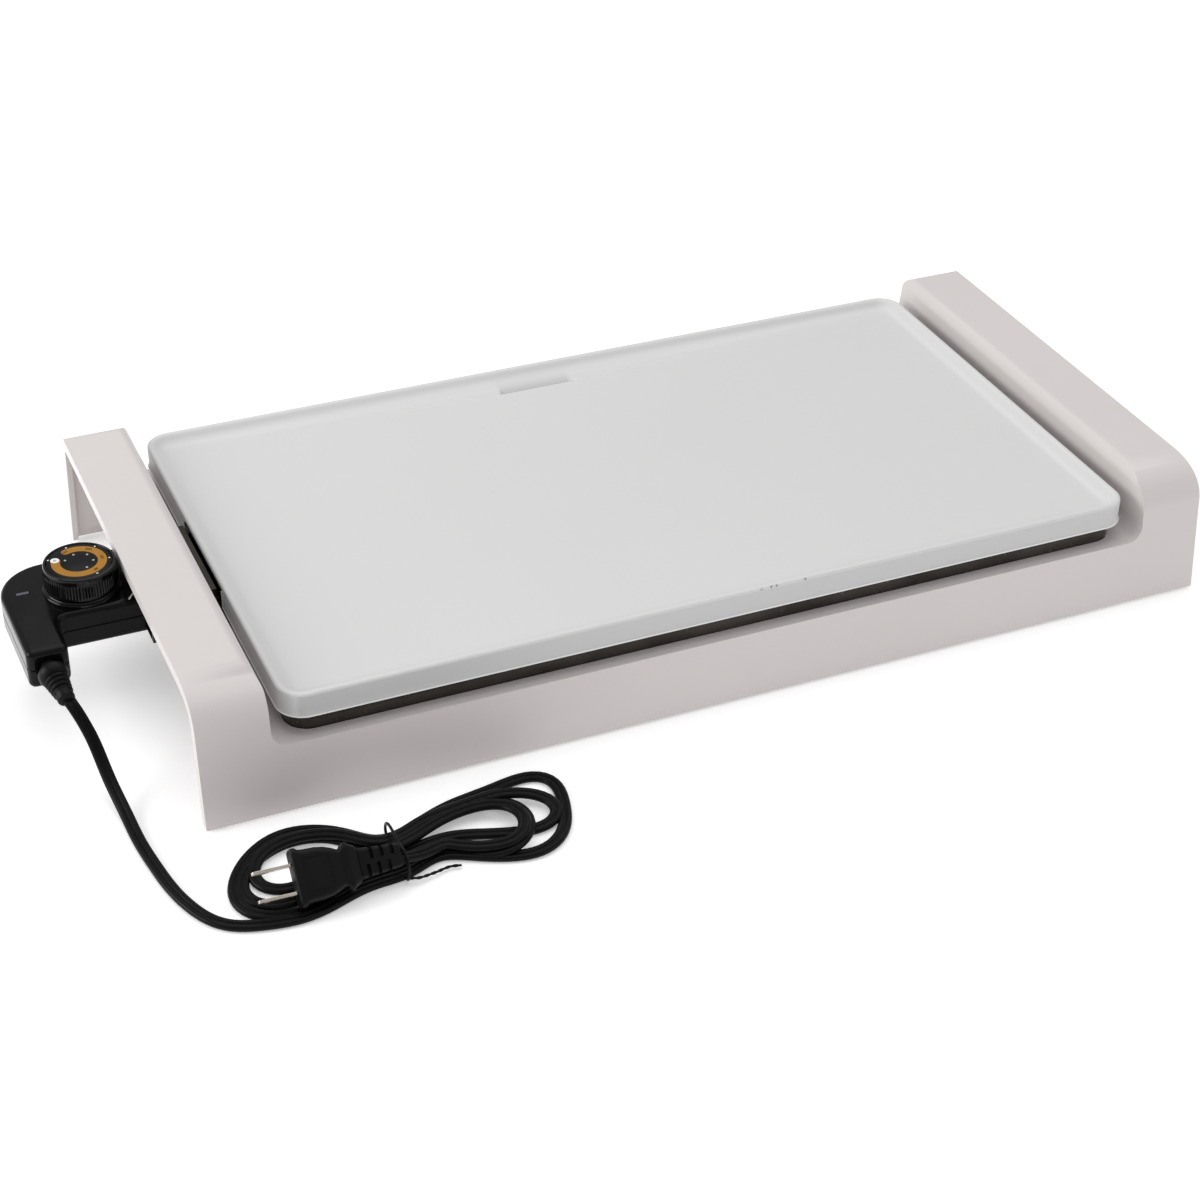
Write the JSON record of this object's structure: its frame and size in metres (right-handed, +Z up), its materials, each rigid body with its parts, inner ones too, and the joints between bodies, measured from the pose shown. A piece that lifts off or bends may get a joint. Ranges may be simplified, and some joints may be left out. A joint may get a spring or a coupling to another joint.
{
  "type": "electric griddle",
  "caption": "Tabletop electric griddle: off-white guard with open end bridges, lift-off white plate, heat pan with heating element, plug-in dial controller and a tied mains cord.",
  "frame": {"origin": "on the surface it stands on, below the centre of the guard and controller together", "axes": "+X from the controller to the far end, +Y to the rear, +Z up"},
  "size_m": [0.603, 0.3563, 0.0695],
  "materials": {
    "guard_plastic": "satin, warm off-white",
    "ceramic_coating": "white ceramic coat on cast aluminium, semi-gloss",
    "dark_pan_steel": "dark brown heat-resistant enamel, glossy",
    "black_plastic": "black, satin to glossy",
    "cord_pvc": "black flexible PVC",
    "rubber": "matte black",
    "steel": "zinc plated",
    "nickel": "nickel plated",
    "brass": "plain",
    "heater_sheath": "heat-darkened steel sheath",
    "steatite": "unglazed cream ceramic",
    "dial_print": "printed dial under gloss",
    "lamp_lens": "translucent grey-blue"
  },
  "bodies": {
    "base": {"cord_hank": "cord_pvc", "cord_lead": "cord_pvc", "foot_front_left": "rubber", "foot_front_right": "rubber", "foot_rear_left": "rubber", "foot_rear_right": "rubber", "guard_shell": "guard_plastic", "hank_tie": "cord_pvc", "heat_pan": "dark_pan_steel", "heater_element": "heater_sheath", "heater_stand_1": "steel", "heater_stand_2": "steel", "heater_stand_3": "steel", "heater_stand_4": "steel", "hood_screw_1": "steel", "hood_screw_2": "steel", "pan_screw_1": "steel", "pan_screw_2": "steel", "pan_screw_3": "steel", "pan_screw_4": "steel", "plate_support_1": "steel", "plate_support_2": "steel", "plate_support_3": "steel", "plate_support_4": "steel", "plug_blade_1": "nickel", "plug_blade_2": "nickel", "plug_body": "black_plastic", "plug_strain_relief": "rubber", "probe_guide": "steel", "terminal_bush_1": "steatite", "terminal_bush_2": "steatite", "terminal_hood": "dark_pan_steel", "terminal_pin_1": "nickel", "terminal_pin_2": "nickel"},
    "plate": {"griddle_plate": "ceramic_coating"},
    "controller": {"controller_upper": "black_plastic", "controller_lower": "black_plastic", "receptacle_block": "black_plastic", "receptacle_contact_1": "brass", "receptacle_contact_2": "brass", "thermostat_probe": "steel", "thermostat_frame": "steel", "blade_stack": "steatite", "switch_blade": "brass", "bimetal_blade": "nickel", "pilot_lamp": "lamp_lens", "pilot_lens": "lamp_lens", "knob_collar": "black_plastic", "strain_relief": "rubber", "cord_clamp": "black_plastic", "controller_screw_1": "steel", "controller_screw_2": "steel", "controller_screw_3": "steel", "controller_screw_4": "steel"},
    "knob": {"knob": "black_plastic", "knob_dial": "dial_print", "knob_shaft": "steel"}
  },
  "joints": [
    {"name": "plate_lift", "type": "slide", "parent": "base", "child": "plate", "axis": [0, 0, 1], "range_m": [0, 0.06]},
    {"name": "controller_unplug", "type": "slide", "parent": "base", "child": "controller", "axis": [-1, 0, 0], "range_m": [0, 0.1]},
    {"name": "knob_turn", "type": "hinge", "parent": "controller", "child": "knob", "pos_m": [-0.2627, 0.0045, 0.06], "axis": [0, 0, 1], "range_deg": [-175, 130]}
  ]
}
